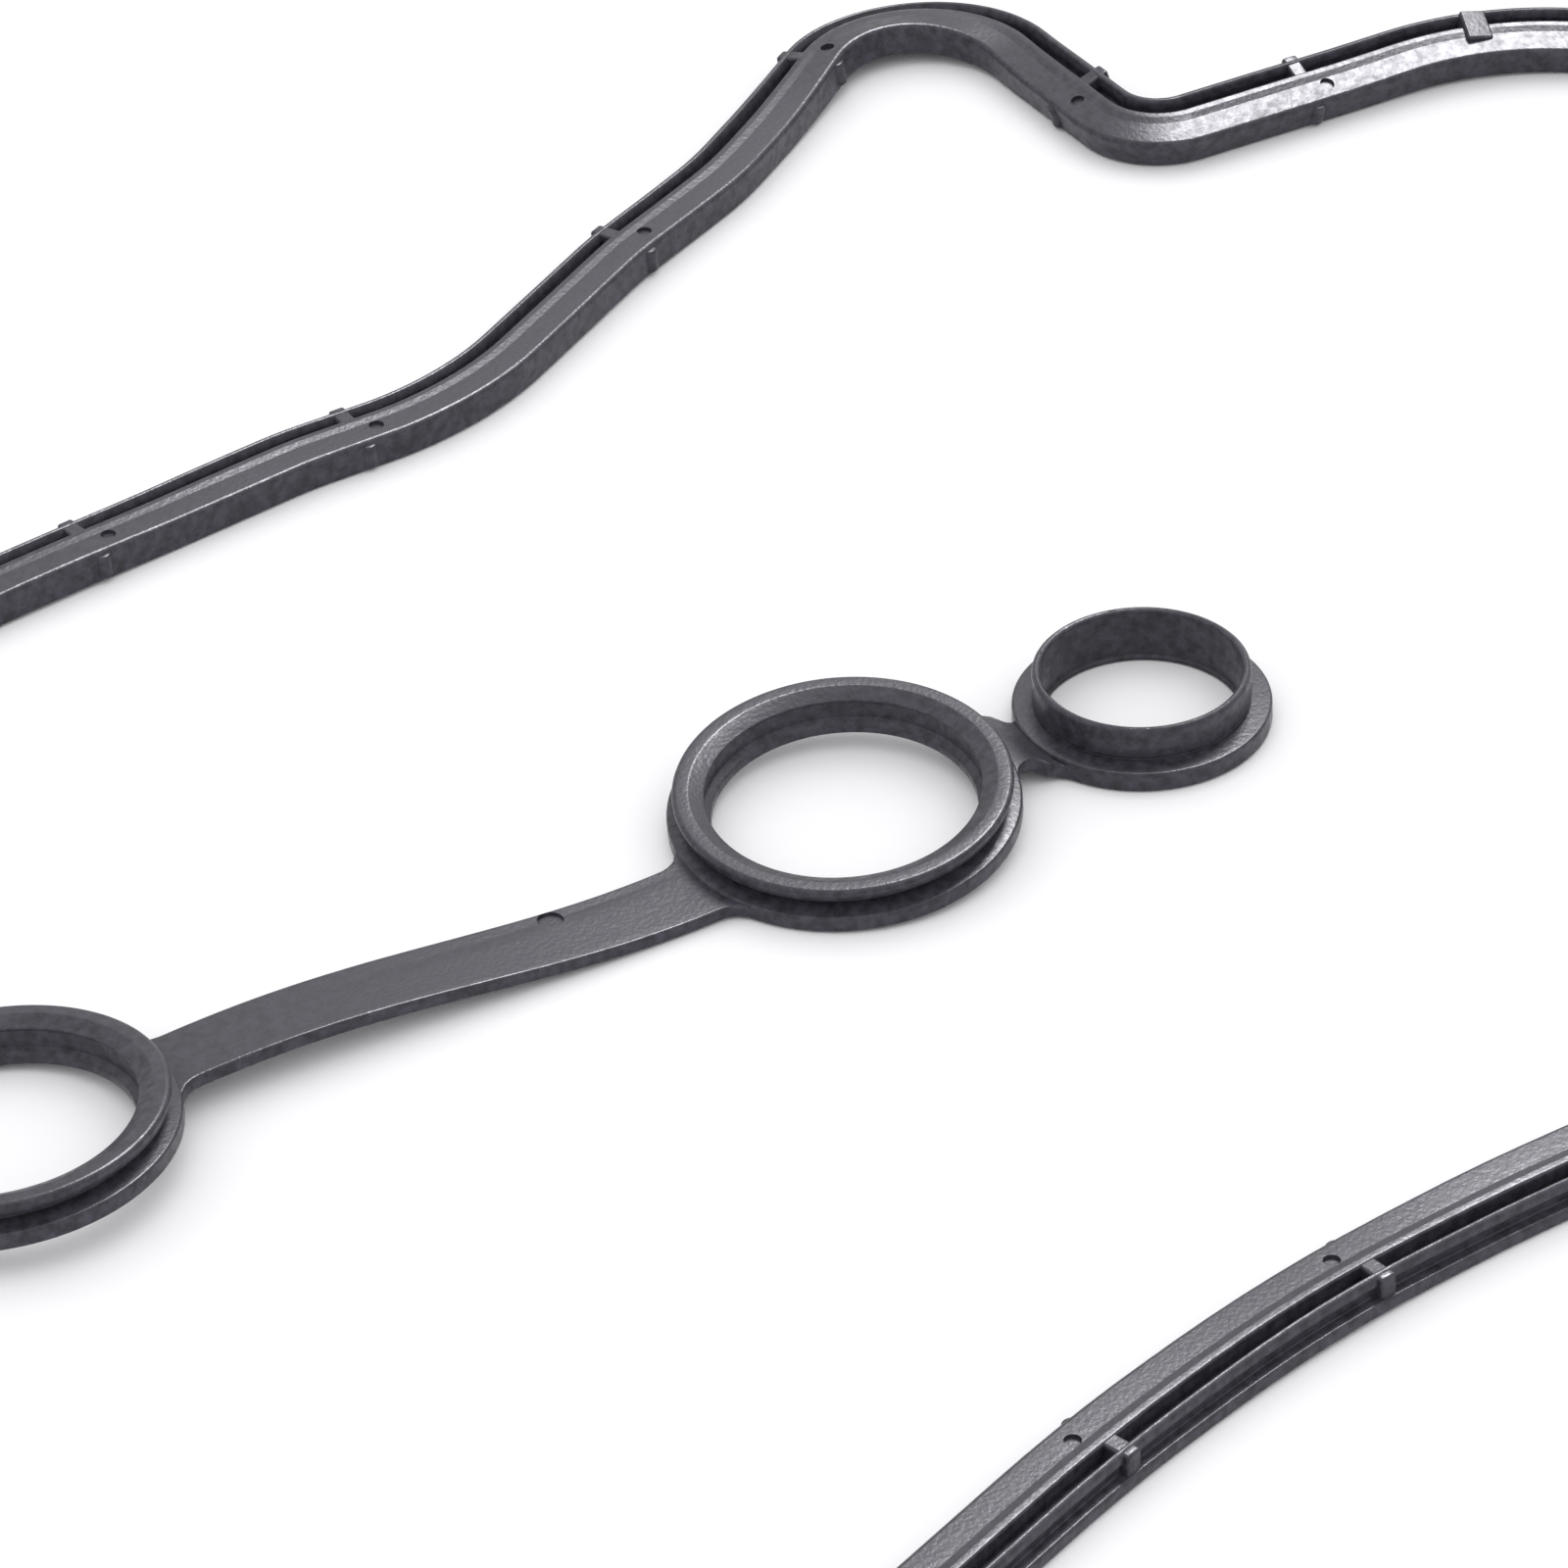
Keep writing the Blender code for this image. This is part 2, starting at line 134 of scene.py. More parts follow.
flat_y = INTAKE_SIDE + (FLAT_START - INTAKE_DRIFT_START) * math.tan(INTAKE_DRIFT_ANGLE)
saddle_y = flat_y + (SADDLE_START - RAMP_START) * math.tan(RAMP_ANGLE)
crest_y = saddle_y + (CREST_START - SADDLE_START) * math.tan(SADDLE_ANGLE)
horn_top = crest_y + (HORN_REACH - CREST_START) * math.tan(CREST_ANGLE)
front_y = HORN_FOOT - (FRONT_REACH - HORN_REACH) * math.tan(FRONT_DROP_ANGLE)
drift_run = EXHAUST_SWEEP_START - EXHAUST_DRIFT_START
sweep_y = -EXHAUST_SIDE + drift_run * math.tan(EXHAUST_DRIFT_ANGLE)
front_low = sweep_y + (FRONT_REACH - EXHAUST_SWEEP_START) * math.tan(EXHAUST_SWEEP_ANGLE)
course = rounded([
    (-REAR_REACH, INTAKE_SIDE, 0.035),
    (INTAKE_DRIFT_START, INTAKE_SIDE, 0.060),
    (FLAT_START, flat_y, 0.040),
    (RAMP_START, flat_y, 0.038),
    (SADDLE_START, saddle_y, 0.045),
    (CREST_START, crest_y, 0.045),
    (HORN_REACH, horn_top, 0.0135),
    (HORN_REACH, HORN_FOOT, 0.006),
    (FRONT_REACH, front_y, 0.036),
    (FRONT_REACH, front_low, 0.036),
    (EXHAUST_SWEEP_START, sweep_y, 0.190),
    (EXHAUST_DRIFT_START, -EXHAUST_SIDE, 0.060),
    (-REAR_REACH, -EXHAUST_SIDE, 0.035),
], STRIP_TURN_STEP, STRIP_STEP)
course = close_together(course, STRIP_STEP)
stations = [0.0]
for point, following in zip(course, course[1:]):
    stations.append(stations[-1] + (following - point).length)
course_length = stations[-1] + (course[0] - course[-1]).length


def eased(run):
    """A smooth step from 0 to 1."""
    return run * run * (3 - 2 * run)


def roll_parts(distance):
    """The rolls that add up at a distance round the course: timing end, hump and slight wave."""
    into = (distance - ROLL_START) / (ROLL_FULL - ROLL_START)
    out_of = (ROLL_END - distance) / (ROLL_END - ROLL_EASING)
    turn = 2 * math.pi * distance / course_length
    timing_end = eased(max(0.0, min(1.0, into, out_of)))
    hump = eased(max(0.0, 1 - abs(distance - HUMP_STATION) / HUMP_REACH))
    wave = sum(share * math.sin(number * turn + phase) for share, number, phase in WAVES)
    return STRIP_ROLL * timing_end, HUMP_ROLL * hump, WAVE_ROLL * wave


def roll_lift(distance):
    """Height of the strip's middle where it is rolled onto one of its edges."""
    return STRIP_WIDTH / 2 * sum(math.sin(abs(roll)) for roll in roll_parts(distance))


def poly_curve(name, points, rolls=None):
    """A closed curve through points: flat in plan, or in space with a roll at each."""
    curve = bpy.data.curves.new(name, "CURVE")
    curve.dimensions = "3D" if rolls else "2D"
    spline = curve.splines.new("POLY")
    spline.points.add(len(points) - 1)
    for index, (spline_point, point) in enumerate(zip(spline.points, points)):
        spline_point.co = (*Vector(point).to_3d(), 1.0)
        spline_point.tilt = rolls[index] if rolls else 0.0
    spline.use_cyclic_u = True
    carrier = bpy.data.objects.new(name, curve)
    bpy.context.scene.collection.objects.link(carrier)
    return carrier


def as_made(source):
    """The mesh that an object's curve or modifiers give, after which the object is removed."""
    evaluated = source.evaluated_get(bpy.context.evaluated_depsgraph_get())
    mesh = bpy.data.meshes.new_from_object(evaluated)
    bpy.data.objects.remove(source)
    return mesh


inside = -STRIP_WIDTH / 2
outside = STRIP_WIDTH / 2
foot_in = outside - FOOT_WIDTH
lip_in = foot_in - LIP_WIDTH
band_out = lip_in - GROOVE_WIDTH
groove_floor = STRIP_HEIGHT - GROOVE_DEPTH
strip_section = rounded([
    (-across, height, radius) for across, height, radius in (
        (inside, 0.0, MOULD_RADIUS),
        (inside, STRIP_HEIGHT - BAND_DISH, 2 * MOULD_RADIUS),
        (band_out - 2 * BAND_BEAD, STRIP_HEIGHT - BAND_DISH, MOULD_RADIUS),
        (band_out - BAND_BEAD, STRIP_HEIGHT, MOULD_RADIUS),
        (band_out, STRIP_HEIGHT, MOULD_RADIUS),
        (band_out, groove_floor, MOULD_RADIUS),
        (lip_in, groove_floor, MOULD_RADIUS),
        (lip_in, LIP_HEIGHT - LIP_FLARE, MOULD_RADIUS),
        (lip_in + LIP_FLARE / 2, LIP_HEIGHT, MOULD_RADIUS),
        (foot_in, LIP_HEIGHT, LIP_ROUND),
        (foot_in, LIP_HEIGHT - LIP_BULB, MOULD_RADIUS / 2),
        (foot_in - LIP_WAIST, LIP_HEIGHT - LIP_BULB - LIP_WAIST, MOULD_RADIUS / 2),
        (foot_in - LIP_WAIST, FOOT_HEIGHT, MOULD_RADIUS / 2),
        (outside, FOOT_HEIGHT, MOULD_RADIUS),
        (outside, 0.0, MOULD_RADIUS),
    )
], SECTION_TURN_STEP)
section = poly_curve("strip_section", strip_section)
rolls = [sum(roll_parts(station)) for station in stations]
middles = [(point.x, point.y, roll_lift(station)) for point, station in zip(course, stations)]
sweep = poly_curve("strip_course", middles, rolls)
sweep.data.twist_mode = "Z_UP"
sweep.data.bevel_mode = "OBJECT"
sweep.data.bevel_object = section
strip_mesh = as_made(sweep)
bpy.data.objects.remove(section)

# Cross ribs, side nubs and one pad: they grip the walls of the cover's slot and hold the strip
# there before it is bolted down. Same rubber, moulded with the strip.
RIB_STATIONS = (0.2811, 0.3138, 0.3595, 0.4436, 0.4724, 0.8122, 0.8445)
RIB_PITCH = 0.038
RIB_LENGTH = 0.0018
RIB_HEIGHT = 0.0036
NUB_RADIUS = 0.001
NUB_HEIGHT = 0.0030
NUB_PROUD = 0.0005
NUB_SEGMENTS = 24
NUB_RIM_ANGLE = 1.0
PAD_STATION = 0.494
PAD_LENGTH = 0.003
PAD_RISE = 0.0004
PAD_TILT = math.radians(9.0)


def place_along(station):
    """Placing of a shape whose +X runs along the strip and +Z up through it."""
    distance = station
    for index, point in enumerate(course):
        step = course[(index + 1) % len(course)] - point
        if distance <= step.length:
            break
        distance -= step.length
    spot = point + step.normalized() * distance
    heading = Matrix.Rotation(math.atan2(step.y, step.x), 4, "Z")
    lean = Matrix.Rotation(sum(roll_parts(station)), 4, "X")
    return Matrix.Translation((spot.x, spot.y, roll_lift(station))) @ heading @ lean


def soft_block(shape, placing, length, across, heights):
    """A block across the strip with moulded edges."""
    middle = Matrix.Translation((0.0, sum(across) / 2, sum(heights) / 2))
    size = Matrix.Diagonal((length, across[1] - across[0], heights[1] - heights[0], 1.0))
    block = bmesh.ops.create_cube(shape, size=1.0, matrix=placing @ middle @ size)
    edges = list({edge for vertex in block["verts"] for edge in vertex.link_edges})
    bmesh.ops.bevel(
        shape, geom=edges, offset=MOULD_RADIUS, segments=MOULD_SEGMENTS, profile=0.5,
        affect="EDGES", material=-1,
    )


rib_places = []
for index, station in enumerate(RIB_STATIONS):
    gap = (RIB_STATIONS[(index + 1) % len(RIB_STATIONS)] - station) % course_length
    count = round(gap / RIB_PITCH) if gap > 2 * RIB_PITCH else 1
    rib_places += [(station + gap * step / count) % course_length for step in range(count)]
rib_shape = bmesh.new()
for rib_place in rib_places:
    placing = place_along(rib_place)
    bridge = (band_out - 2 * MOULD_RADIUS, outside - MOULD_RADIUS)
    soft_block(rib_shape, placing, RIB_LENGTH, bridge, (FOOT_HEIGHT / 2, RIB_HEIGHT))
    nub_depth = NUB_HEIGHT - MOULD_RADIUS
    nub_spot = (0.0, inside - NUB_PROUD + NUB_RADIUS, MOULD_RADIUS + nub_depth / 2)
    nub = bmesh.ops.create_cone(
        rib_shape, cap_ends=True, segments=NUB_SEGMENTS, radius1=NUB_RADIUS, radius2=NUB_RADIUS,
        depth=nub_depth, matrix=placing @ Matrix.Translation(nub_spot),
    )
    nub_edges = {edge for vertex in nub["verts"] for edge in vertex.link_edges}
    rims = [edge for edge in nub_edges if edge.calc_face_angle() > NUB_RIM_ANGLE]
    bmesh.ops.bevel(
        rib_shape, geom=rims, offset=MOULD_RADIUS, segments=MOULD_SEGMENTS, profile=0.5,
        affect="EDGES", material=-1,
    )
pad_across = ((inside + band_out) / 2, foot_in - MOULD_RADIUS)
pad_heights = (groove_floor / 2, STRIP_HEIGHT + PAD_RISE)
pad_place = place_along(PAD_STATION) @ Matrix.Rotation(PAD_TILT, 4, "Y")
soft_block(rib_shape, pad_place, PAD_LENGTH, pad_across, pad_heights)
ribs_mesh = bpy.data.meshes.new("ribs")
rib_shape.to_mesh(ribs_mesh)
rib_shape.free()
moulded_shapes = [bpy.data.objects.new("ribs", ribs_mesh)]

# Plug-well seals: short collars on a flange, that close round the spark plug tubes. They have a
# groove outside and a hollow bore, so that the upper edge stays supple. Same rubber, turned form.
PLUG_BORE = 0.0256
PLUG_FLANGE_HEIGHT = 0.0017
PLUG_COLLAR_INSET = 0.0013
PLUG_HEIGHT = 0.0044
PLUG_BEAD = 0.0008
PLUG_LEAN = 0.0008
SEAL_ROUND = 0.0005
SEAL_STEPS = 144
SEAL_SLOPES = [(0.056, 0.040), (0.02, -0.09)]


def turned_seal(name, bore, flange, flange_height, collar_inset, height, bead, lean=0.0):
    """A seal ring turned about Z from its half section, with rounded edges. Its undercuts outside
    and inside are measured in beads, and the top of its collar leans outward by lean."""
    outer = flange / 2
    collar = outer - collar_inset
    inner = bore / 2
    profile = rounded([
        (collar + lean, height, SEAL_ROUND),
        (collar + lean / 2, flange_height + 1.75 * bead, MOULD_RADIUS),
        (collar - bead, flange_height + bead, MOULD_RADIUS / 2),
        (collar - bead, flange_height + bead / 2, MOULD_RADIUS / 2),
        (outer, flange_height, MOULD_RADIUS),
        (outer, 0.0, MOULD_RADIUS),
        (inner, 0.0, MOULD_RADIUS / 2),
        (inner, 1.25 * bead, MOULD_RADIUS / 2),
        (inner + bead, 1.75 * bead, MOULD_RADIUS / 2),
        (inner + bead, height - 1.5 * bead, MOULD_RADIUS / 2),
        (inner + bead / 2, height - bead, MOULD_RADIUS / 2),
        (inner + 1.5 * bead + lean, height, SEAL_ROUND),
    ], SECTION_TURN_STEP)
    shape = bmesh.new()
    rim = [shape.verts.new((radius, 0.0, up)) for radius, up in profile]
    edges = [shape.edges.new((rim[index - 1], vertex)) for index, vertex in enumerate(rim)]
    bmesh.ops.spin(
        shape, geom=rim + edges, cent=(0, 0, 0), axis=(0, 0, 1), angle=2 * math.pi,
        steps=SEAL_STEPS, use_merge=True,
    )
    bmesh.ops.recalc_face_normals(shape, faces=shape.faces)
    mesh = bpy.data.meshes.new(name)
    shape.to_mesh(mesh)
    shape.free()
    return mesh


plug_mesh = turned_seal(
    "plug_seal", PLUG_BORE, PLUG_FLANGE, PLUG_FLANGE_HEIGHT, PLUG_COLLAR_INSET, PLUG_HEIGHT,
    PLUG_BEAD, PLUG_LEAN,
)
lays = []
for plug in range(PLUG_COUNT):
    slope_x, slope_y = SEAL_SLOPES[plug] if plug < len(SEAL_SLOPES) else (0.0, 0.0)
    lay = (-plug * PLUG_PITCH, PLUG_FLANGE / 2 * math.hypot(slope_x, slope_y), slope_x, slope_y)
    seal = bpy.data.objects.new("plug_seal", plug_mesh)
    seal.location = (lay[0], 0.0, lay[1])
    upward = Vector((-slope_x, -slope_y, 1))
    seal.rotation_euler = Vector((0, 0, 1)).rotation_difference(upward).to_euler()
    moulded_shapes.append(seal)
    lays.append(lay)

# Straps between the seals, with a link to the strip at the rear: they only keep the seals in
# their places until the cover is on. Thin webs of the same rubber, which bow up when loose.
STRAP_WIDTH = 0.0083
STRAP_THICKNESS = 0.0014
STRAP_FILLET = 0.003
STRAP_RISE = 0.0009
STRAP_BOW_SKEW = 0.75
STRAP_LIFT = 0.00015
STRAP_ROOT = 0.0015
END_STRAP_SHIFT = 0.0022
STRAP_SEGMENTS = (72, 10)
STRAIGHT_WALL = 100.0


def lay_height(lay, x, y):
    """Height of a seal's underside plane at a point."""
    centre_x, height, slope_x, slope_y = lay
    return height + slope_x * (x - centre_x) + slope_y * y


def strap(name, lays, radii, edges, fillet, rise=0.0, drop=0.0):
    """A thin web between two round flanges, which it meets with fillets. Its two edges run at a
    distance from the flanges' middles at each end, and the second flange lies lower by drop."""
    span = lays[1][0] - lays[0][0]
    shape = bmesh.new()
    along, across = STRAP_SEGMENTS
    bmesh.ops.create_grid(shape, x_segments=along, y_segments=across, size=1.0)
    for vertex in shape.verts:
        side = edges[0] if vertex.co.y > 0 else edges[1]
        reaches = [
            math.sqrt((radius + fillet) ** 2 - (edge + fillet) ** 2)
            for radius, edge in zip(radii, side)
        ]
        flares = [reach * fillet / (radius + fillet) for reach, radius in zip(reaches, radii)]
        roots = [reach - flare - STRAP_ROOT for reach, flare in zip(reaches, flares)]
        gone = roots[0] + (vertex.co.x + 1) / 2 * (span - roots[0] - roots[1])
        straight = max(0.0, min(1.0, (gone - reaches[0]) / (span - reaches[0] - reaches[1])))
        edge = side[0] + (side[1] - side[0]) * eased(straight)
        for reach, flare, distance in zip(reaches, flares, (gone, span - gone)):
            into = min(max(reach - distance, 0.0), flare)
            edge += fillet - math.sqrt(fillet * fillet - into * into)
        x = lays[0][0] + gone
        y = vertex.co.y * edge - drop * eased(straight)
        leave = reaches[0] - flares[0]
        run = max(0.0, min(1.0, (gone - leave) / (span - leave - reaches[1] + flares[1])))
        low = lay_height(lays[0], x, y) * (1 - eased(run)) + lay_height(lays[1], x, y) * eased(run)
        bow = rise * math.sin(math.pi * run ** STRAP_BOW_SKEW) ** 2
        vertex.co = (x, y, STRAP_LIFT + low + bow)
    mesh = bpy.data.meshes.new(name)
    shape.to_mesh(mesh)
    shape.free()
    web = bpy.data.objects.new(name, mesh)
    thicken = web.modifiers.new("thickness", "SOLIDIFY")
    thicken.thickness = STRAP_THICKNESS
    thicken.offset = 1.0
    soften = web.modifiers.new("edges", "BEVEL")
    soften.width = MOULD_RADIUS
    soften.segments = MOULD_SEGMENTS
    return web


flange_radius = PLUG_FLANGE / 2
even = (STRAP_WIDTH / 2, STRAP_WIDTH / 2)
for plug in range(1, PLUG_COUNT):
    shift = END_STRAP_SHIFT if plug == 1 else 0.0
    edges = ((even[0], even[0] - shift), (even[0], even[0] + shift))
    ends = (lays[plug], lays[plug - 1])
    web = strap(f"strap_{plug}", ends, (flange_radius,) * 2, edges, STRAP_FILLET, STRAP_RISE)
    moulded_shapes.append(web)
wall_lay = (-REAR_REACH + STRIP_WIDTH / 2 - STRAIGHT_WALL, 0.0, 0.0, 0.0)
link_radii = (STRAIGHT_WALL, flange_radius)
rear_link = strap("rear_link", (wall_lay, lays[-1]), link_radii, (even, even), STRAP_FILLET)
moulded_shapes.append(rear_link)

# Small seal at the timing end: it closes an oil passage beside the last plug well. It stands
# taller than the plug-well seals, has a thinner wall, and hangs on a short neck.
PORT_OFFSET = 0.0335
PORT_SHIFT = 0.0008
PORT_BORE = 0.0193
PORT_FLANGE = 0.0254
PORT_FLANGE_HEIGHT = 0.0021
PORT_COLLAR_INSET = 0.002
PORT_HEIGHT = 0.0059
PORT_BEAD = 0.0003
NECK_WIDTH = 0.0084
NECK_FILLET = 0.0025
port_mesh = turned_seal(
    "port_seal", PORT_BORE, PORT_FLANGE, PORT_FLANGE_HEIGHT, PORT_COLLAR_INSET, PORT_HEIGHT,
    PORT_BEAD,
)
port_seal = bpy.data.objects.new("port_seal", port_mesh)
port_seal.location = (PORT_OFFSET, -PORT_SHIFT, 0.0)
neck_edges = ((NECK_WIDTH / 2, NECK_WIDTH / 2),) * 2
port_lay = (PORT_OFFSET, 0.0, 0.0, 0.0)
neck_radii = (flange_radius, PORT_FLANGE / 2)
neck = strap("neck", (lays[0], port_lay), neck_radii, neck_edges, NECK_FILLET, drop=PORT_SHIFT)
moulded_shapes += [port_seal, neck]

# Ejector marks: small round pits beside the cross ribs and one on the first strap, left by the
# pins that push the moulding out of its mould. They are hollows in the same rubber.
MARK_RADIUS = 0.0008
MARK_DEPTH = 0.0004
MARK_SEGMENTS = 32
MARK_OFFSET = 0.0021
MARK_EDGE = 0.0024
STRAP_MARK = (-0.032, 0.0008, 0.00192)
STRAP_MARK_RADIUS = 0.0013
mark_shape = bmesh.new()
beside_rib = Matrix.Translation((MARK_OFFSET, band_out - MARK_EDGE, STRIP_HEIGHT - BAND_DISH))
pins = [(MARK_RADIUS, place_along(rib_place) @ beside_rib) for rib_place in rib_places]
pins.append((STRAP_MARK_RADIUS, Matrix.Translation(STRAP_MARK)))
for pin_radius, pin_place in pins:
    bmesh.ops.create_cone(
        mark_shape, cap_ends=True, segments=MARK_SEGMENTS, radius1=pin_radius, radius2=pin_radius,
        depth=2 * MARK_DEPTH, matrix=pin_place,
    )
marks_mesh = bpy.data.meshes.new("marks")
mark_shape.to_mesh(marks_mesh)
mark_shape.free()
marks = bpy.data.objects.new("marks", marks_mesh)
bpy.context.scene.collection.objects.link(marks)

# The whole moulding: strip, ribs, seals and straps leave the mould as one piece, so they are
# joined into one skin, which stands where the CAD gasket is and shows in its place.
SHARP_ANGLE = math.radians(40)
moulded_with_strip = bpy.data.collections.new("moulded_with_strip")
for moulded_shape in moulded_shapes:
    moulded_with_strip.objects.link(moulded_shape)
bpy.context.scene.collection.children.link(moulded_with_strip)
moulding = bpy.data.objects.new("moulding", strip_mesh)
bpy.context.scene.collection.objects.link(moulding)
union = moulding.modifiers.new("union", "BOOLEAN")
union.operation = "UNION"
union.solver = "EXACT"
union.operand_type = "COLLECTION"
union.collection = moulded_with_strip
pits = moulding.modifiers.new("pits", "BOOLEAN")
pits.operation = "DIFFERENCE"
pits.solver = "EXACT"
pits.object = marks
xs = [vertex.co.x for vertex in strip_mesh.vertices]
ys = [vertex.co.y for vertex in strip_mesh.vertices]
gasket_mesh = as_made(moulding)
gasket_mesh.name = "moulded_gasket"
for moulded_shape in moulded_shapes + [marks]:
    bpy.data.objects.remove(moulded_shape)
bpy.data.collections.remove(moulded_with_strip)
low_corner, high_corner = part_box("gasket")
middle = (low_corner + high_corner) / 2
shift_x = middle.x - (min(xs) + max(xs)) / 2
shift_y = middle.y - (min(ys) + max(ys)) / 2
gasket_mesh.transform(Matrix.Translation((shift_x, shift_y, 0.0)))
gasket_mesh.materials.clear()
gasket_mesh.shade_smooth()
gasket_mesh.set_sharp_from_angle(angle=SHARP_ANGLE)
gasket = bpy.data.objects.new("moulded_gasket", gasket_mesh)
bpy.context.scene.collection.objects.link(gasket)
even_shading = gasket.modifiers.new("even_shading", "WEIGHTED_NORMAL")
even_shading.keep_sharp = True
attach(gasket, "root")
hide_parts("gasket")

# Moulded nitrile rubber: the mould leaves a dull satin skin with a fine grain. Talc and handling
# leave it faintly mottled, so that it reads as violet-grey where light falls and black in its
# grooves. The dark spots are a little duller than the light ones.
SKIN_DARK = "#29282d"
SKIN_LIGHT = "#424049"
SKIN_EDGES = (0.35, 0.65)
SKIN_TINT = (0.95, 0.93, 1.0, 1.0)
SKIN_IOR = 1.5
SKIN_SPECULAR = 0.3
SPOT_EDGES = (0.3, 0.7)
SPOT_ROUGHNESS = (0.42, 0.26)
# The mottle's spots are about a millimetre across. The mould's own grain is some hundredths of a
# millimetre, too fine to show, so it is drawn at half a millimetre.
MOTTLE_SIZE = 0.0011
MOTTLE_DETAIL = 4.0
MOTTLE_ROUGHNESS = 0.6
GRAIN_SIZE = 0.0005
GRAIN_DETAIL = 2.0
GRAIN_DEPTH = 0.0001
GRAIN_STRENGTH = 0.35


def linear(colour, alpha=1.0):
    """An sRGB hex colour as linear RGBA."""
    channels = [int(colour[start:start + 2], 16) / 255 for start in (1, 3, 5)]
    return (*[c / 12.92 if c <= 0.04045 else ((c + 0.055) / 1.055) ** 2.4 for c in channels], alpha)


def add_node(tree, kind, settings=None, inputs=None):
    """A node with its settings, and inputs that are values or other sockets."""
    node = tree.nodes.new(kind)
    for name, value in (settings or {}).items():
        setattr(node, name, value)
    for name, value in (inputs or {}).items():
        if isinstance(value, bpy.types.NodeSocket):
            tree.links.new(value, node.inputs[name])
        else:
            node.inputs[name].default_value = value
    return node


rubber = bpy.data.materials.new("moulded_nitrile_rubber")
rubber.use_nodes = True
tree = rubber.node_tree
tree.nodes.clear()
place = add_node(tree, "ShaderNodeTexCoord").outputs["Object"]
mottle = add_node(tree, "ShaderNodeTexNoise", inputs={
    "Vector": place, "Scale": 1 / MOTTLE_SIZE, "Detail": MOTTLE_DETAIL,
    "Roughness": MOTTLE_ROUGHNESS,
})
skin = add_node(tree, "ShaderNodeValToRGB", inputs={"Fac": mottle.outputs["Fac"]})
for stop, edge, colour in zip(skin.color_ramp.elements, SKIN_EDGES, (SKIN_DARK, SKIN_LIGHT)):
    stop.position = edge
    stop.color = linear(colour)
gloss = add_node(tree, "ShaderNodeMapRange", inputs={
    "Value": mottle.outputs["Fac"], "From Min": SPOT_EDGES[0], "From Max": SPOT_EDGES[1],
    "To Min": SPOT_ROUGHNESS[0], "To Max": SPOT_ROUGHNESS[1],
})
grain = add_node(tree, "ShaderNodeTexNoise", inputs={
    "Vector": place, "Scale": 1 / GRAIN_SIZE, "Detail": GRAIN_DETAIL,
})
bump = add_node(tree, "ShaderNodeBump", inputs={
    "Strength": GRAIN_STRENGTH, "Distance": GRAIN_DEPTH, "Height": grain.outputs["Fac"],
})
shader = add_node(tree, "ShaderNodeBsdfPrincipled", inputs={
    "Base Color": skin.outputs["Color"], "Roughness": gloss.outputs["Result"], "IOR": SKIN_IOR,
    "Specular Tint": SKIN_TINT, "Specular IOR Level": SKIN_SPECULAR,
    "Normal": bump.outputs["Normal"],
})
add_node(tree, "ShaderNodeOutputMaterial", inputs={"Surface": shader.outputs["BSDF"]})
gasket_mesh.materials.append(rubber)

# Studio floor: a sheet of smooth pale paper under the gasket. It runs out past the view on every
# side, and shows nothing but soft shadows.
FLOOR_SIZE = 6.0
FLOOR_GAP = 0.0001
PAPER_COLOUR = "#f4f4f6"
PAPER_ROUGHNESS = 0.9
PAPER_SPECULAR = 0.1
floor_shape = bmesh.new()
bmesh.ops.create_grid(floor_shape, x_segments=1, y_segments=1, size=FLOOR_SIZE / 2)
floor_mesh = bpy.data.meshes.new("studio_floor")
floor_shape.to_mesh(floor_mesh)
floor_shape.free()
floor_mesh.transform(Matrix.Translation((0.0, 0.0, low_corner.z - FLOOR_GAP)))
paper = bpy.data.materials.new("pale_paper")
paper.use_nodes = True
paper_shader = paper.node_tree.nodes["Principled BSDF"]
paper_shader.inputs["Base Color"].default_value = linear(PAPER_COLOUR)
paper_shader.inputs["Roughness"].default_value = PAPER_ROUGHNESS
paper_shader.inputs["Specular IOR Level"].default_value = PAPER_SPECULAR
floor_mesh.materials.append(paper)
studio_floor = bpy.data.objects.new("studio_floor", floor_mesh)
bpy.context.scene.collection.objects.link(studio_floor)

# Studio light: a pale room all round, brighter overhead, and a large soft panel behind. A small
# bright panel shows only as the sheen on the rolled strip at the timing end.
ROOM_COLOUR = (1.0, 1.0, 1.0, 1.0)
ROOM_HORIZON = 0.85
ROOM_ZENITH = 1.35
STUDIO_CENTRE = (0.07, 0.0, 0.0)


def soft_panel(name, azimuth, elevation, distance, size, radiance, target=STUDIO_CENTRE):
    """A soft light panel that faces a target: the way to it from there, its width and height, and
    how bright it looks."""
    light = bpy.data.lights.new(name, "AREA")
    light.shape = "RECTANGLE"
    light.size, light.size_y = size
    light.energy = radiance * math.pi * size[0] * size[1]
    panel = bpy.data.objects.new(name, light)
    flat = math.cos(math.radians(elevation))
    way = Vector((
        math.sin(math.radians(azimuth)) * flat,
        math.cos(math.radians(azimuth)) * flat,
        math.sin(math.radians(elevation)),
    ))
    facing = way.to_track_quat("Z", "Y").to_matrix().to_4x4()
    panel.matrix_world = Matrix.Translation(Vector(target) + way * distance) @ facing
    bpy.context.scene.collection.objects.link(panel)
    return panel


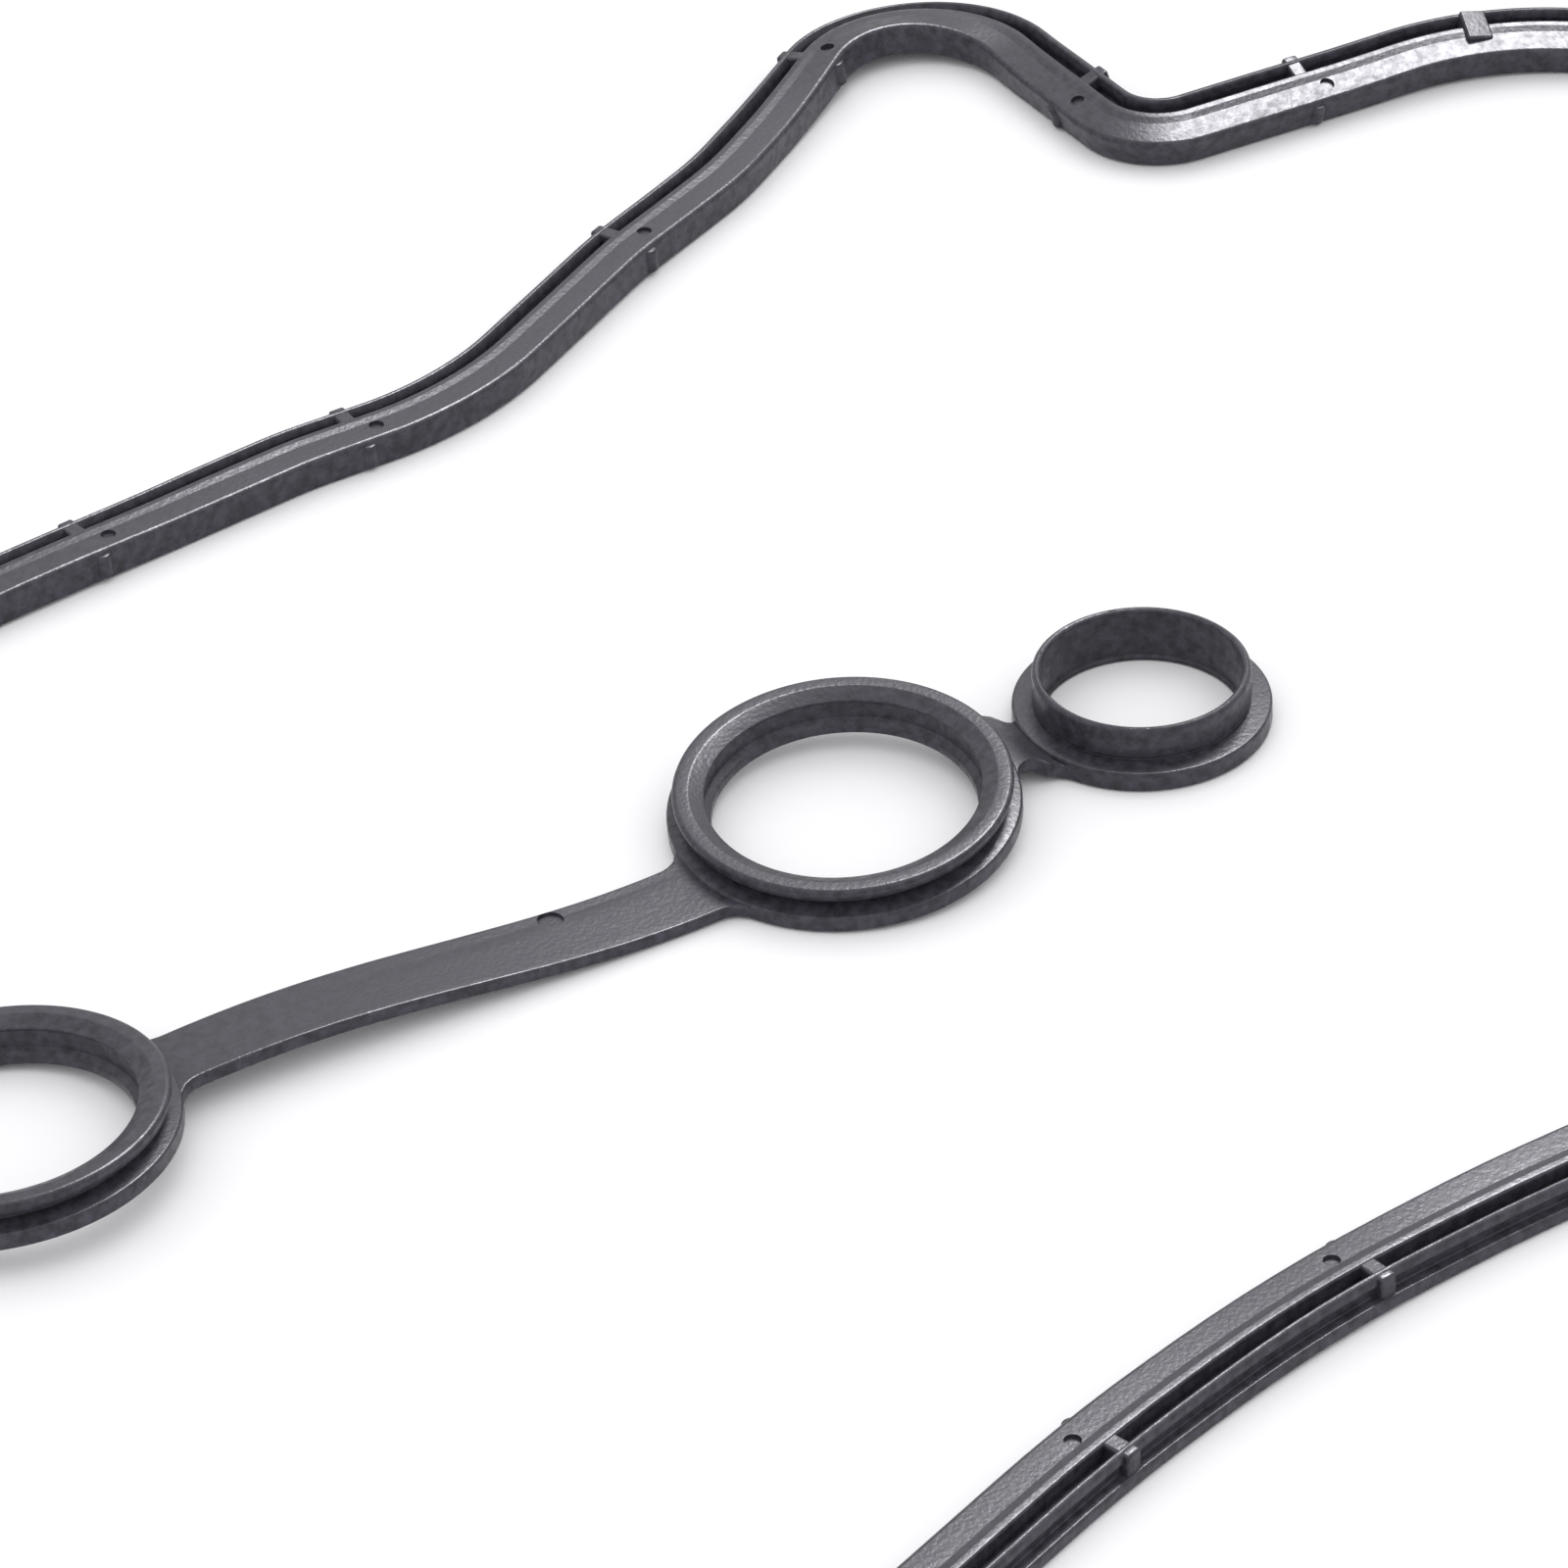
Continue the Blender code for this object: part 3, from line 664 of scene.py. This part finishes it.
soft_panel("back_panel", azimuth=25.0, elevation=47.0, distance=1.7, size=(2.4, 0.9), radiance=0.25)
sheen_panel = soft_panel(
    "sheen_panel", azimuth=55.0, elevation=63.0, distance=1.2, size=(0.45, 0.45), radiance=54.0,
    target=(0.2, 0.075, 0.0),
)
sheen_panel.visible_diffuse = False
room = bpy.data.worlds.new("pale_room")
room.use_nodes = True
direction = add_node(room.node_tree, "ShaderNodeTexCoord").outputs["Generated"]
upward = add_node(room.node_tree, "ShaderNodeSeparateXYZ", inputs={"Vector": direction})
brightness = add_node(room.node_tree, "ShaderNodeMapRange", inputs={
    "Value": upward.outputs["Z"], "To Min": ROOM_HORIZON, "To Max": ROOM_ZENITH,
})
background = room.node_tree.nodes["Background"]
background.inputs["Color"].default_value = ROOM_COLOUR
room.node_tree.links.new(brightness.outputs["Result"], background.inputs["Strength"])
bpy.context.scene.world = room
bpy.context.scene.view_settings.view_transform = "Standard"

# Camera: it looks down at the timing end from the exhaust side, close enough to cut off the rest.
# Its long lens keeps the near and the far side at nearly one scale.
CAMERA_AIM = (0.0700, -0.0012, 0.0)
CAMERA_AZIMUTH = math.radians(-29.6)
CAMERA_HEIGHT_ANGLE = math.radians(35.5)
CAMERA_ROLL = math.radians(-2.9)
CAMERA_DISTANCE = 0.6768
LENS = 160.9
SENSOR = 36.0
NEAREST = 0.01
lens = bpy.data.cameras.new("studio_camera")
lens.lens = LENS
lens.sensor_width = SENSOR
lens.clip_start = NEAREST
camera = bpy.data.objects.new("studio_camera", lens)
flat_reach = math.cos(CAMERA_HEIGHT_ANGLE)
back = Vector((
    math.sin(CAMERA_AZIMUTH) * flat_reach,
    -math.cos(CAMERA_AZIMUTH) * flat_reach,
    math.sin(CAMERA_HEIGHT_ANGLE),
))
level = back.to_track_quat("Z", "Y").to_matrix().to_4x4()
stand = Matrix.Translation(Vector(CAMERA_AIM) + back * CAMERA_DISTANCE)
camera.matrix_world = stand @ level @ Matrix.Rotation(CAMERA_ROLL, 4, "Z")
bpy.context.scene.collection.objects.link(camera)
bpy.context.scene.camera = camera
